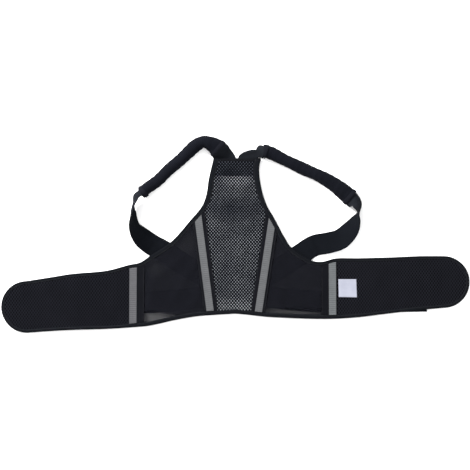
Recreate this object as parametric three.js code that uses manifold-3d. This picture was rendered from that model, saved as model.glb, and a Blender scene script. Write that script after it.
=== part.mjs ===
// Posture corrector lying flat, body side up: a net back panel, two belly wings and two shoulder straps.
// Millimetres, +X along the wings, +Y towards the shoulders, +Z up from the surface it lies on.
import * as THREE from 'three';
import { mergeVertices } from 'three/addons/utils/BufferGeometryUtils.js';
import Module from 'manifold-3d';

const wasm = await Module();
wasm.setup();

// Driving sizes of the panel
const backHeight = 365;
const yokeLeft = 51;
const yokeRight = 60;
const leftSeam = 240;
const rightSeam = 228;
const leftReach = 550;
const rightReach = 550;
const wingHeight = 122;
const netYokeDepth = 42;

// Fabric thicknesses, and the gap kept between pieces that touch
const gap = 0.3;
const backingThick = 0.8;
const netThick = 1.5;
const sheerThick = 1;
const lipThick = 0.9;
const casingThick = 1.2;
const tapeThick = 0.8;
const labelThick = 0.5;
const hookThick = 0.9;

// Edge binding and sewn tapes
const bindingWidth = 10;
const yokeBindingWidth = 6;
const bindingFold = 1.2;
const tapeWidth = 17;
const backCasingWidth = 33;
const wingCasingWidth = 36;
const backCasingShift = 1.2;
const wingCasingShift = 8;
const backStayTop = 87;
const backStayFoot = 54;
const backStayRise = 223;
const backStayDrop = 15;
const backStayOverrun = 0.2;
const leftStayLean = 1.04;
const rightStayLean = 0.95;
const labelSize = 42;
const labelCorner = 14;
const labelRise = 39;

// Shoulder straps, their sleeves and their fastening tabs
const strapWidth = 50;
const strapThick = 1.8;
const leftArmReach = 254;
const rightArmReach = 302;
const tunnelSide = 0.8;
const tunnelFace = 0.6;
const padWall = 1.7;
const padSeam = 2.4;
const collarLength = 9;
const collarThick = 1.2;
const strapHookLength = 78;
const hookPatchLength = 80;
const hookPatchWidth = 64;
const hookMargin = 1;

// Heights above the surface, worked out from what lies below
const strapLevel = strapThick + gap;
const crossingBase = 2 * strapLevel;
const singleBase = strapLevel + lipThick + gap;
const tipBase = lipThick + gap;
const crossingHalf = 2 * strapWidth;
const crossingRamp = 1.1 * strapWidth;
const panelThick = backingThick + gap + netThick;
const aboveLayer = panelThick + gap;
const tapeLevel = aboveLayer + casingThick + gap;
const tipRadius = wingHeight / 2;
const leftWing = leftReach - leftSeam;
const rightWing = rightReach - rightSeam;

const colour = (hex, roughness) => new THREE.MeshStandardMaterial({ color: hex, roughness, metalness: 0 });
const paint = {
  net: colour(0x33363c, 0.85),
  backing: colour(0x85898f, 0.9),
  black: colour(0x1b1d22, 0.9),
  sheer: colour(0x202126, 0.8),
  wing: colour(0x1e1f24, 0.85),
  binding: colour(0x202328, 0.8),
  casing: colour(0x1a1b1f, 0.85),
  tape: colour(0x727477, 0.75),
  label: colour(0xdadde9, 0.6),
  webbing: colour(0x1a1d22, 0.75),
  pad: colour(0x24252b, 0.9),
  hook: colour(0x17181b, 0.7),
};

const part = new THREE.Group();

function addGeometry(name, geometry, material) {
  const mesh = new THREE.Mesh(geometry, material);
  mesh.name = name;
  part.add(mesh);
}

function toSolid(geometry) {
  geometry.deleteAttribute('normal');
  geometry.deleteAttribute('uv');
  const merged = mergeVertices(geometry, 1e-4);
  const vertProperties = new Float32Array(merged.attributes.position.array);
  const triVerts = new Uint32Array(merged.index.array);
  return new wasm.Manifold(new wasm.Mesh({ numProp: 3, vertProperties, triVerts }));
}

function addSolid(name, solid, material) {
  const mesh = solid.getMesh();
  const geometry = new THREE.BufferGeometry();
  geometry.setAttribute('position', new THREE.BufferAttribute(new Float32Array(mesh.vertProperties), 3));
  geometry.setIndex(new THREE.BufferAttribute(new Uint32Array(mesh.triVerts), 1));
  addGeometry(name, geometry, material);
}

// How the fabric lies: the height of its underside over the surface.
// Columns: share of the reach on that side, height.
const lay = [
  [-1.02, tipBase],
  [-0.86, tipBase],
  [-0.8, singleBase],
  [-0.68, singleBase + 2.6],
  [-0.57, singleBase + 1],
  [-0.44, singleBase],
  [-0.33, singleBase + 1.6],
  [-0.24, crossingBase],
  [0.24, crossingBase],
  [0.33, singleBase + 1.2],
  [0.42, singleBase],
  [0.56, singleBase + 2.2],
  [0.68, singleBase + 0.8],
  [0.83, singleBase],
  [0.88, tipBase],
  [1.02, tipBase],
];
const layX = (share) => share * (share < 0 ? leftReach : rightReach);

// A prism along Z through everything, on an outline of Vector2
const sky = 60;
function prism(outline) {
  const shape = new THREE.Shape(outline);
  const geometry = new THREE.ExtrudeGeometry(shape, { depth: 2 * sky, bevelEnabled: false });
  geometry.translate(0, 0, -sky);
  return toSolid(geometry);
}

// The layer of fabric between two heights over its underside, as wide as the whole part
function layer(lower, upper) {
  const low = lay.map(([share, height]) => new THREE.Vector2(layX(share), height + lower));
  const high = lay.map(([share, height]) => new THREE.Vector2(layX(share), height + upper)).reverse();
  const depth = 4 * backHeight;
  const shape = new THREE.Shape([...low, ...high]);
  const geometry = new THREE.ExtrudeGeometry(shape, { depth, bevelEnabled: false });
  geometry.rotateX(Math.PI / 2);
  geometry.translate(0, depth / 2, 0);
  return toSolid(geometry);
}

// Outline of the panel, as a share of its sizes, with the binding's width as a share of bindingWidth.
// Columns of an armhole: x per seam distance, y per back height, binding width.
const leftArmhole = [
  [0.26, 0.866, 1.3],
  [0.283, 0.767, 1.3],
  [0.325, 0.693, 1.1],
  [0.44, 0.6, 1],
  [0.627, 0.463, 1],
  [0.834, 0.372, 1],
  [0.93, 0.33, 0.9],
];
const rightArmhole = [
  [0.246, 0.92, 1.4],
  [0.275, 0.792, 1.3],
  [0.326, 0.695, 1.1],
  [0.4, 0.615, 1],
  [0.51, 0.487, 1],
  [0.58, 0.424, 1],
  [0.79, 0.342, 0.9],
  [0.9, 0.335, 0.8],
];
// Columns of a wing's edge: x from the seam per wing length, y per wing height, binding width.
const leftWingTop = [
  [0.03, 0.94, 0.8],
  [0.197, 0.83, 0.8],
  [0.468, 0.765, 0.8],
  [0.62, 0.703, 0.8],
];
const leftWingFoot = [
  [0.66, -0.342, 0.8],
  [0.468, -0.315, 0.8],
  [0.158, -0.29, 0.8],
];
const rightWingTop = [
  [0.018, 1.062, 0.8],
  [0.185, 1.068, 0.8],
  [0.407, 1.083, 0.8],
  [0.63, 1.108, 0.8],
];
const rightWingFoot = [
  [0.6, 0.06, 0.8],
  [0.352, -0.017, 0.8],
  [0.185, -0.071, 0.9],
];
// Columns of a hem: x per seam distance, y per wing height, binding width.
const leftHem = [
  [1, -0.262, 0.9],
  [0.84, -0.232, 1],
  [0.575, -0.118, 1],
  [0.375, -0.052, 1],
  [0.2, -0.024, 1],
  [0, 0, 1],
];
const rightHem = [
  [1, -0.1, 0.9],
  [0.788, -0.1, 1],
  [0.55, -0.084, 1],
  [0.313, -0.06, 1],
  [0.12, -0.02, 1],
  [0, 0, 1],
];
const yokeCornerBinding = 1.3;
const wingBinding = 0.8;
const leftTipRise = 0.13;
const rightTipRise = 0.61;
const upperSteps = 40;
const lowerSteps = 26;
const tipSteps = 12;

// One side's outer edge, from the yoke corner round the wing tip to the middle of the hem.
// Each point holds x, y and the width of its binding.
function edgePath(side, yoke, seam, wing, armhole, wingTop, wingFoot, hem, tipRise) {
  const at = (x, y, width) => new THREE.Vector3(side * x, y, width * bindingWidth);
  const tipX = seam + wing - tipRadius;
  const tipY = tipRise * wingHeight;
  const upper = [
    at(yoke, backHeight, yokeCornerBinding),
    ...armhole.map(([x, y, width]) => at(x * seam, y * backHeight, width)),
    ...wingTop.map(([x, y, width]) => at(seam + x * wing, y * wingHeight, width)),
    at(tipX, tipY + tipRadius, wingBinding),
  ];
  const lower = [
    at(tipX, tipY - tipRadius, wingBinding),
    ...wingFoot.map(([x, y, width]) => at(seam + x * wing, y * wingHeight, width)),
    ...hem.map(([x, y, width]) => at(x * seam, y * wingHeight, width)),
  ];
  const path = new THREE.CatmullRomCurve3(upper).getPoints(upperSteps);
  for (let i = 1; i < tipSteps; i += 1) {
    const angle = Math.PI * (0.5 - i / tipSteps);
    path.push(at(tipX + tipRadius * Math.cos(angle), tipY + tipRadius * Math.sin(angle), wingBinding));
  }
  return path.concat(new THREE.CatmullRomCurve3(lower).getPoints(lowerSteps));
}

// The path moved inwards, by a distance worked out for each of its points
function inset(path, side, distance) {
  return path.map((point, i) => {
    const before = path[Math.max(i - 1, 0)];
    const after = path[Math.min(i + 1, path.length - 1)];
    const along = new THREE.Vector2(after.x - before.x, after.y - before.y).normalize();
    const reach = distance(point.z);
    const moved = new THREE.Vector2(point.x + side * along.y * reach, point.y - side * along.x * reach);
    if (i === 0) moved.y = point.y;
    if (i === path.length - 1) moved.x = point.x;
    return moved;
  });
}

const leftEdge = edgePath(-1, yokeLeft, leftSeam, leftWing, leftArmhole, leftWingTop, leftWingFoot,
  leftHem, leftTipRise);
const rightEdge = edgePath(1, yokeRight, rightSeam, rightWing, rightArmhole, rightWingTop, rightWingFoot,
  rightHem, rightTipRise);
const outlineAt = (distance) => {
  const left = inset(leftEdge, -1, distance).reverse();
  const right = inset(rightEdge, 1, distance);
  return [...left, ...right.slice(0, -1)];
};
const flat = (list) => list.map(([x, y]) => new THREE.Vector2(x, y));
const rectangle = (x1, y1, x2, y2) => flat([[x1, y1], [x2, y1], [x2, y2], [x1, y2]]);

// Regions of the panel between its sewn seams, each a little short of the seam
const half = gap / 2;
const far = 2 * (leftReach + rightReach);
const seamSlope = (backStayTop - backStayFoot) / backStayRise;
const backSeamX = (y) => backStayFoot + seamSlope * y;
const yokeLine = backHeight - netYokeDepth;
const topCut = backHeight - yokeBindingWidth / 2;
const yokeBindingFoot = backHeight - yokeBindingWidth;
const backRegion = (low, high, short = half) => flat([
  [-backSeamX(low) + short, low], [backSeamX(low) - short, low],
  [backSeamX(high) - short, high], [-backSeamX(high) + short, high],
]);
const sideRegion = (side, seam) => flat([
  [side * (backSeamX(-wingHeight) + half), -wingHeight], [side * (seam - half), -wingHeight],
  [side * (seam - half), topCut], [side * (backSeamX(topCut) + half), topCut],
]);
const wingRegion = (side, seam) => rectangle(side * (seam + half), -far, side * far, far);

const panelPrism = prism(outlineAt(() => bindingFold));
const innerPrism = prism(outlineAt((width) => width + gap));
const piece = (region, low, high) => prism(region).intersect(panelPrism).intersect(layer(low, high));

const netLevel = backingThick + gap;
const sheerLevel = panelThick - sheerThick;
const net = piece(backRegion(-wingHeight, topCut), netLevel, panelThick);
addSolid('net_panel', net, paint.net);
addSolid('panel_backing', piece(backRegion(-wingHeight, yokeLine - half), 0, backingThick), paint.backing);
addSolid('yoke_backing', piece(backRegion(yokeLine + half, topCut), 0, backingThick), paint.black);
for (const [name, side, seam] of [['left', -1, leftSeam], ['right', 1, rightSeam]]) {
  addSolid(`side_panel_${name}`, piece(sideRegion(side, seam), sheerLevel, panelThick), paint.sheer);
  addSolid(`wing_${name}`, piece(wingRegion(side, seam), 0, panelThick), paint.wing);
}

// Edge binding: a folded tape that takes the panel's edge between its two lips
const slot = prism(outlineAt(() => bindingFold - gap));
const thickPart = prism(backRegion(-wingHeight - gap, backHeight, -half))
  .add(prism(wingRegion(-1, leftSeam - gap))).add(prism(wingRegion(1, rightSeam - gap)));
const thickSlot = slot.intersect(thickPart).intersect(layer(-gap, panelThick + gap));
const sheerSlot = slot.intersect(layer(sheerLevel - gap, panelThick + gap));
const lips = layer(-gap - lipThick, panelThick + gap + lipThick);
function binding(edge, side) {
  const inner = inset(edge, side, (width) => width);
  const outer = edge.map((point) => new THREE.Vector2(point.x, point.y));
  const middleCut = prism(rectangle(side * half, -far, side * far, yokeBindingFoot - gap));
  const strip = prism([...outer, ...inner.reverse()]).intersect(middleCut);
  return strip.intersect(lips).subtract(thickSlot).subtract(sheerSlot);
}
addSolid('edge_binding_left', binding(leftEdge, -1), paint.binding);
addSolid('edge_binding_right', binding(rightEdge, 1), paint.binding);
const yokeStrip = rectangle(-yokeLeft, yokeBindingFoot, yokeRight, backHeight);
const yokeSlot = prism(rectangle(-far, 0, far, topCut + gap));
addSolid('yoke_binding', prism(yokeStrip).intersect(lips)
  .subtract(yokeSlot.intersect(layer(-gap, panelThick + gap))), paint.binding);

// Stay casings over the seams, each with a grey tape along it
function band(top, foot, width, shift) {
  const along = new THREE.Vector2().subVectors(top, foot).normalize();
  const across = new THREE.Vector2(-along.y, along.x);
  const corner = (end, side) => end.clone().addScaledVector(across, shift + side * width / 2);
  return [corner(foot, 1), corner(foot, -1), corner(top, -1), corner(top, 1)];
}
const stays = [];
for (const [name, side, lean] of [['back_left', -1, leftStayLean], ['back_right', 1, rightStayLean]]) {
  const foot = new THREE.Vector2(side * backStayFoot * lean, -backStayDrop);
  const top = new THREE.Vector2(side * backStayTop, backStayRise);
  top.add(new THREE.Vector2().subVectors(top, foot).multiplyScalar(backStayOverrun));
  stays.push({ name, top, foot, width: backCasingWidth, shift: side * backCasingShift });
}
for (const [name, side, seam] of [['wing_left', -1, leftSeam], ['wing_right', 1, rightSeam]]) {
  const foot = new THREE.Vector2(side * (seam + 1), -wingHeight);
  const top = new THREE.Vector2(side * (seam - 1), 2 * wingHeight);
  stays.push({ name, top, foot, width: wingCasingWidth, shift: side * wingCasingShift });
}
for (const { name, top, foot, width, shift } of stays) {
  const casing = prism(band(top, foot, width, shift)).intersect(innerPrism);
  const tape = prism(band(top, foot, tapeWidth, 0)).intersect(innerPrism);
  const casingLayer = layer(aboveLayer, aboveLayer + casingThick);
  addSolid(`stay_casing_${name}`, casing.intersect(casingLayer), paint.casing);
  addSolid(`stay_tape_${name}`, tape.intersect(layer(tapeLevel, tapeLevel + tapeThick)), paint.tape);
}

// Bare care label on the right wing
const labelX = rightSeam + labelCorner;
const labelOutline = rectangle(labelX, labelRise, labelX + labelSize, labelRise + labelSize);
const labelLayer = layer(aboveLayer, aboveLayer + labelThick);
addSolid('care_label', prism(labelOutline).intersect(labelLayer), paint.label);

// Route of a strap: stations joined by a smooth curve.
// Columns of a loop: x per arm reach, y per back height, curl and roll in degrees, the share of the
// strap's width that lies unfolded, and what it wears: 0 nothing, 1 its pad, 2 the pad and a collar.
const leftLoop = [
  [-0.097, 0.95, 0, 0, 1, 0],
  [-0.093, 0.988, 0, 0, 1, 0],
  [-0.125, 1.03, 0, 0, 0.88, 0],
  [-0.15, 1.053, 124, 0, 1, 2],
  [-0.202, 1.082, 156, 0, 1, 2],
  [-0.293, 1.106, 252, 0, 1, 1],
  [-0.363, 1.083, 222, 0, 1, 1],
  [-0.422, 1.046, 219, 0, 1, 1],
  [-0.515, 0.984, 240, 0, 1, 1],
  [-0.615, 0.923, 246, 0, 1, 1],
  [-0.715, 0.859, 248, 0, 1, 1],
  [-0.823, 0.802, 258, 0, 1, 2],
  [-0.864, 0.776, 264, 0, 1, 2],
  [-0.911, 0.752, 120, 66, 0.4, 0],
  [-0.932, 0.712, 26, 86, 0.7, 0],
  [-0.95, 0.654, 20, 99, 1, 0],
  [-0.932, 0.564, 0, 120, 1, 0],
  [-0.856, 0.489, 0, 158, 1, 0],
  [-0.765, 0.441, 0, 180, 1, 0],
  [-0.675, 0.408, 0, 180, 1, 0],
];
const rightLoop = [
  [0.1, 0.95, 0, 0, 1, 0],
  [0.102, 0.988, 0, 0, 1, 0],
  [0.125, 1.012, 0, 0, 0.66, 0],
  [0.172, 1.036, 20, 0, 0.28, 0],
  [0.22, 1.043, 234, 0, 1, 2],
  [0.274, 1.031, 218, 0, 1, 2],
  [0.398, 0.983, 250, 0, 1, 1],
  [0.522, 0.935, 232, 0, 1, 1],
  [0.627, 0.894, 238, 0, 1, 1],
  [0.758, 0.837, 190, 0, 1, 1],
  [0.824, 0.797, 156, 0, 1, 2],
  [0.899, 0.743, 160, 0, 1, 2],
  [0.944, 0.714, 110, -40, 0.7, 0],
  [0.96, 0.672, 50, -74, 1, 0],
  [0.943, 0.611, 30, -113, 1, 0],
  [0.894, 0.542, 0, -144, 1, 0],
  [0.815, 0.479, 0, -164, 1, 0],
  [0.72, 0.455, 0, -174, 1, 0],
  [0.616, 0.438, 0, -180, 1, 0],
  [0.518, 0.388, 0, -180, 1, 0],
];
// Columns of the run below the panel: x per reach of that side, y per wing height.
const leftRun = [
  [-0.236, 0.994],
  [-0.121, 0.706],
  [0, 0.485],
  [0.127, 0.34],
  [0.276, 0.254],
  [0.532, 0.225],
  [0.818, 0.243],
];
const rightRun = [
  [0.225, 0.975],
  [0.118, 0.687],
  [0, 0.485],
  [-0.129, 0.34],
  [-0.279, 0.244],
  [-0.535, 0.187],
  [-0.769, 0.148],
];
const padThick = strapThick + 2 * (tunnelFace + padWall);
const padWidth = strapWidth + 2 * (tunnelSide + padSeam);
const collarGrowth = 2 * (gap + collarThick);
const yokeRise = crossingBase - gap - lipThick - strapLevel;
const stepsAcross = 6;

// Height of the strap that passes over the other one behind the panel
function crossingRise(x) {
  const share = (crossingHalf + crossingRamp - Math.abs(x)) / crossingRamp;
  return strapLevel * Math.min(Math.max(share, 0), 1);
}

function stations(loop, run, armReach, roll, riseAt) {
  const rows = loop.map(([x, y, curl, turn, open, wrap], i) => ({
    x: x * armReach, y: y * backHeight, curl, roll: turn, open, wrap, rise: i < 2 ? yokeRise : 0,
  }));
  for (const [share, y] of run) {
    const x = layX(share);
    rows.push({ x, y: y * wingHeight, curl: 0, roll, open: 1, wrap: 0, rise: riseAt(x) });
  }
  return rows;
}

// Section of a curled ribbon, as two rows of points across it: its upper face and its lower face
function ribbonSection(width, thick, curl, roll) {
  const bend = Math.max(Math.abs(curl), 0.5) * Math.PI / 180 / strapWidth;
  const crown = Math.sin(bend * strapWidth / 2) / (bend * strapWidth / 2);
  const turn = roll * Math.PI / 180;
  const face = (offset) => Array.from({ length: stepsAcross + 1 }, (_, i) => {
    const angle = bend * width * (i / stepsAcross - 0.5);
    const reach = 1 / bend + offset;
    const across = reach * Math.sin(angle);
    const above = reach * Math.cos(angle) - crown / bend;
    const [cos, sin] = [Math.cos(turn), Math.sin(turn)];
    return [across * cos - above * sin, across * sin + above * cos];
  });
  return { upper: face(thick / 2), lower: face(-thick / 2) };
}

class Route {
  constructor(rows) {
    this.rows = rows;
    this.last = rows.length - 1;
    this.curve = new THREE.CatmullRomCurve3(rows.map((row) => new THREE.Vector3(row.x, row.y, 0)));
  }

  // The place, heading and section values at a station number, whole or between two
  frame(place) {
    const i = Math.min(Math.floor(place), this.last - 1);
    const share = place - i;
    const mix = (key) => this.rows[i][key] * (1 - share) + this.rows[i + 1][key] * share;
    const at = this.curve.getPoint(place / this.last);
    const along = this.curve.getTangent(place / this.last);
    const side = new THREE.Vector3(-along.y, along.x, 0).normalize();
    const values = { at, side, curl: mix('curl'), roll: mix('roll'), open: mix('open') };
    const padded = Math.min(mix('wrap'), 1);
    const collared = Math.max(mix('wrap') - 1, 0) * collarGrowth;
    const width = strapWidth + padded * (padWidth - strapWidth) + collared;
    const thick = strapThick + padded * (padThick - strapThick) + collared;
    const rest = ribbonSection(width, thick, values.curl, values.roll);
    values.height = mix('rise') - Math.min(...rest.upper.concat(rest.lower).map((point) => point[1]));
    return values;
  }

  ring(place, width, thick) {
    const { at, side, curl, roll, height } = this.frame(place);
    const { upper, lower } = ribbonSection(width, thick, curl, roll);
    const rise = new THREE.Vector3(0, 0, 1);
    return [...upper, ...lower.reverse()].map(([across, above]) => at.clone()
      .addScaledVector(side, across).addScaledVector(rise, above + height));
  }

  // The station number a given length further along
  advance(place, length) {
    const step = Math.sign(length) / 100;
    let travelled = 0;
    let from = this.curve.getPoint(place / this.last);
    let spot = place;
    while (travelled < Math.abs(length)) {
      spot += step;
      const to = this.curve.getPoint(spot / this.last);
      travelled += to.distanceTo(from);
      from = to;
    }
    return spot;
  }
}

// A closed surface through rings of equal length, with a hole through it where inner rings are given
function loft(rings, inners) {
  const count = rings[0].length;
  const points = inners ? [...rings.flat(), ...inners.flat()] : rings.flat();
  const index = [];
  const quad = (a, b, c, d) => index.push(a, c, b, a, d, c);
  const skin = (start, flip) => {
    for (let r = 0; r < rings.length - 1; r += 1) {
      for (let i = 0; i < count; i += 1) {
        const next = (i + 1) % count;
        const corners = [start + r * count + i, start + r * count + next,
          start + (r + 1) * count + next, start + (r + 1) * count + i];
        const [a, b, c, d] = corners;
        quad(...(flip ? [a, d, c, b] : corners));
      }
    }
  };
  skin(0, false);
  const innerStart = rings.length * count;
  if (inners) skin(innerStart, true);
  for (const [ring, flip] of [[0, true], [rings.length - 1, false]]) {
    for (let i = 0; i < (inners ? count : count / 2 - 1); i += 1) {
      const next = (i + 1) % count;
      const opposite = inners ? [innerStart + ring * count + next, innerStart + ring * count + i]
        : [ring * count + count - 2 - i, ring * count + count - 1 - i];
      const corners = [ring * count + i, ring * count + next, ...opposite];
      quad(...(flip ? corners.reverse() : corners));
    }
  }
  const geometry = new THREE.BufferGeometry();
  const numbers = points.flatMap((point) => point.toArray());
  geometry.setAttribute('position', new THREE.Float32BufferAttribute(numbers, 3));
  geometry.setIndex(index);
  return geometry;
}

// Places along a route from one station to another, some to each gap between stations
function places(from, to, perGap) {
  const inside = [];
  for (let i = Math.floor(from * perGap) + 1; i < to * perGap - 1e-6; i += 1) inside.push(i / perGap);
  return [from, ...inside, to];
}

const padSteps = 2;
const strapSteps = 2;
function strap(name, route, padFrom, padTo) {
  const webbing = places(0, route.last, strapSteps)
    .map((place) => route.ring(place, strapWidth * route.frame(place).open, strapThick));
  addGeometry(`webbing_${name}`, loft(webbing), paint.webbing);
  const tunnel = [strapWidth + 2 * tunnelSide, strapThick + 2 * tunnelFace];
  const upperEnd = route.advance(padFrom, collarLength);
  const lowerEnd = route.advance(padTo, -collarLength);
  const padPlaces = [padFrom, ...places(upperEnd, lowerEnd, padSteps), padTo];
  const sleeve = (list, outer, inner) => loft(list.map((place) => route.ring(place, ...outer)),
    list.map((place) => route.ring(place, ...inner)));
  addGeometry(`shoulder_pad_${name}`, sleeve(padPlaces, [padWidth, padThick], tunnel), paint.pad);
  const mouth = [padWidth + 2 * gap, padThick + 2 * gap];
  const collar = [padWidth + collarGrowth, padThick + collarGrowth];
  addGeometry(`pad_collar_${name}_upper`, sleeve([padFrom, upperEnd], collar, mouth), paint.binding);
  addGeometry(`pad_collar_${name}_lower`, sleeve([lowerEnd, padTo], collar, mouth), paint.binding);
}
const leftRoute = new Route(stations(leftLoop, leftRun, leftArmReach, 180, crossingRise));
const rightRoute = new Route(stations(rightLoop, rightRun, rightArmReach, -180, () => 0));
strap('left', leftRoute, 3, 12);
strap('right', rightRoute, 4, 11);

// Fastening tabs: one on the end of each strap, against the wing above it,
// and one under the left wing's tip
const hookLayer = layer(-gap - hookThick, -gap);
function strapHook(name, route) {
  const end = route.rows[route.last];
  const inner = end.x - Math.sign(end.x) * strapHookLength;
  const halfWidth = strapWidth / 2 - hookMargin;
  const outline = rectangle(inner, end.y - halfWidth, end.x, end.y + halfWidth);
  addSolid(`strap_hook_${name}`, prism(outline).intersect(hookLayer).intersect(innerPrism), paint.hook);
}
strapHook('left', leftRoute);
strapHook('right', rightRoute);
const patchX = -leftReach + bindingWidth + gap;
const patchY = leftTipRise * wingHeight;
const patchOutline = rectangle(patchX, patchY - hookPatchWidth / 2,
  patchX + hookPatchLength, patchY + hookPatchWidth / 2);
addSolid('wing_hook', prism(patchOutline).intersect(hookLayer).intersect(innerPrism), paint.hook);

// The origin is the middle of the part's footprint, on the surface it lies on
const box = new THREE.Box3().setFromObject(part);
const middle = box.getCenter(new THREE.Vector3());
part.position.set(-middle.x, -middle.y, -box.min.z);

export default part;
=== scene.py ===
# Posture corrector lying flat, seen from straight above.
# Lengths are millimetres in the tables and metres in Blender; every piece lies where its CAD node lies.
import math
import random

import bmesh
import bpy
import numpy as np
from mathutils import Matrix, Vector

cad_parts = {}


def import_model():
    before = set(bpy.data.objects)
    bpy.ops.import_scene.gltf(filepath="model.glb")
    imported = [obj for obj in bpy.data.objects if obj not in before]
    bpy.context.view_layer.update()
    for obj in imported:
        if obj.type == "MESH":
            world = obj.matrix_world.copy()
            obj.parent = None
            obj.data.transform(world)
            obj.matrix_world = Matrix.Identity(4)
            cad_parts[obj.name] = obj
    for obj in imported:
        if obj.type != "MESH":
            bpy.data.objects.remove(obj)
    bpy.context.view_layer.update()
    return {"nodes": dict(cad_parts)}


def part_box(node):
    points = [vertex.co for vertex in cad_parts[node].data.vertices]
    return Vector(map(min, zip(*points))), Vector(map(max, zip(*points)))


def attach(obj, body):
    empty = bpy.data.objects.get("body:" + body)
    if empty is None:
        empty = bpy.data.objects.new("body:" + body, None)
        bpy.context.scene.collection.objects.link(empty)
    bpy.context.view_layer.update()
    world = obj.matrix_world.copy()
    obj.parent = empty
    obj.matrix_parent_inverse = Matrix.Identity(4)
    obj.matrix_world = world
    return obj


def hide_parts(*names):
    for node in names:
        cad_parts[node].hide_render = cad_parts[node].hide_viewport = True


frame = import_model()
MM = 0.001

# Sizes of the part
BACK_HEIGHT = 365
YOKE_LEFT, YOKE_RIGHT = 51, 60
LEFT_SEAM, RIGHT_SEAM = 240, 228
LEFT_REACH = RIGHT_REACH = 550
WING_HEIGHT = 122
GAP = 0.3
BACKING, NET_THICK, LIP, CASING_THICK, TAPE_THICK, LABEL_THICK = 0.8, 1.5, 0.9, 1.2, 0.8, 0.5
BINDING_WIDTH, YOKE_BINDING = 10, 6
TAPE_WIDTH, BACK_CASING, WING_CASING = 17, 33, 36
BACK_SHIFT, WING_SHIFT = 1.2, 8
STAY_TOP, STAY_FOOT, STAY_RISE, STAY_DROP, STAY_OVERRUN = 87, 54, 223, 15, 0.2
LEFT_LEAN, RIGHT_LEAN = 1.04, 0.95
LABEL_SIZE, LABEL_CORNER, LABEL_RISE = 42, 14, 39
STRAP_WIDTH, STRAP_THICK = 50, 1.8
LEFT_ARM, RIGHT_ARM = 254, 302
TUNNEL_SIDE, TUNNEL_FACE, PAD_WALL, PAD_SEAM = 0.8, 0.6, 1.7, 2.4
COLLAR_LENGTH, COLLAR_THICK = 9, 1.2

STRAP_LEVEL = STRAP_THICK + GAP
CROSSING_BASE = 2 * STRAP_LEVEL
SINGLE_BASE = STRAP_LEVEL + LIP + GAP
TIP_BASE = LIP + GAP
CROSSING_HALF, CROSSING_RAMP = 2 * STRAP_WIDTH, 1.1 * STRAP_WIDTH
PANEL_THICK = BACKING + GAP + NET_THICK
ABOVE = PANEL_THICK + GAP
TAPE_LEVEL = ABOVE + CASING_THICK + GAP
TIP_RADIUS = WING_HEIGHT / 2

# The frame's origin is the middle of the footprint; the tables start at the middle of the hem.
MIDDLE = LABEL_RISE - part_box("care_label")[0].y / MM


def world(points):
    """Table points in millimetres as points of the shared frame in metres."""
    return (np.asarray(points, float) - (0, MIDDLE, 0)) * MM


# Camera, floor and light

CAMERA_AT = (-0.7, 184.7, 8000)
VIEW_WIDTH = 1103
MIDDLE_LEVEL = 6
SENSOR = 36
DOME_STRENGTH = 1.45
# Columns: name, place, size, power. The lamps look at the origin.
LAMPS = [("key", (-2.1, 2.0, 1.6), 1.0, 330), ("fill", (2.2, -0.6, 2.6), 2.4, 18)]
FLOOR_SIZE = 12
PAPER = (0.93, 0.93, 0.93, 1)


def camera():
    data = bpy.data.cameras.new("camera")
    data.sensor_width = SENSOR
    data.lens = data.sensor_width * (CAMERA_AT[2] - MIDDLE_LEVEL) / VIEW_WIDTH
    data.clip_end = 100
    obj = bpy.data.objects.new("camera", data)
    obj.location = world(CAMERA_AT)
    bpy.context.scene.collection.objects.link(obj)
    bpy.context.scene.camera = obj


def area_light(name, place, size, power):
    data = bpy.data.lights.new(name, "AREA")
    data.shape = "DISK"
    data.size = size
    data.energy = power
    obj = bpy.data.objects.new(name, data)
    obj.location = place
    obj.rotation_euler = (-Vector(place)).to_track_quat("-Z", "Y").to_euler()
    bpy.context.scene.collection.objects.link(obj)


def studio():
    scene = bpy.context.scene
    scene.view_settings.view_transform = "Standard"
    scene.view_settings.look = "None"
    scene.world = bpy.data.worlds.new("studio")
    scene.world.use_nodes = True
    back = scene.world.node_tree.nodes["Background"]
    back.inputs["Color"].default_value = (1, 1, 1, 1)
    back.inputs["Strength"].default_value = DOME_STRENGTH
    for lamp in LAMPS:
        area_light(*lamp)
    bpy.ops.mesh.primitive_plane_add(size=FLOOR_SIZE, location=(0, 0, 0))
    floor = bpy.context.object
    floor.name = "floor"
    paper = bpy.data.materials.new("paper")
    paper.use_nodes = True
    shader = paper.node_tree.nodes["Principled BSDF"]
    shader.inputs["Base Color"].default_value = PAPER
    shader.inputs["Roughness"].default_value = 0.9
    shader.inputs["Specular IOR Level"].default_value = 0.1
    floor.data.materials.append(paper)


# Materials

# The share that brings the cloths under this bright dome to their tones in the picture
DIM = 0.38


def tone(red, green, blue):
    """A colour as it shows in the picture, 0 to 255, as the surface's own linear colour."""
    def linear(value):
        value /= 255
        return value / 12.92 if value <= 0.04045 else ((value + 0.055) / 1.055) ** 2.4
    return tuple(DIM * linear(v) for v in (red, green, blue)) + (1,)


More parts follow.
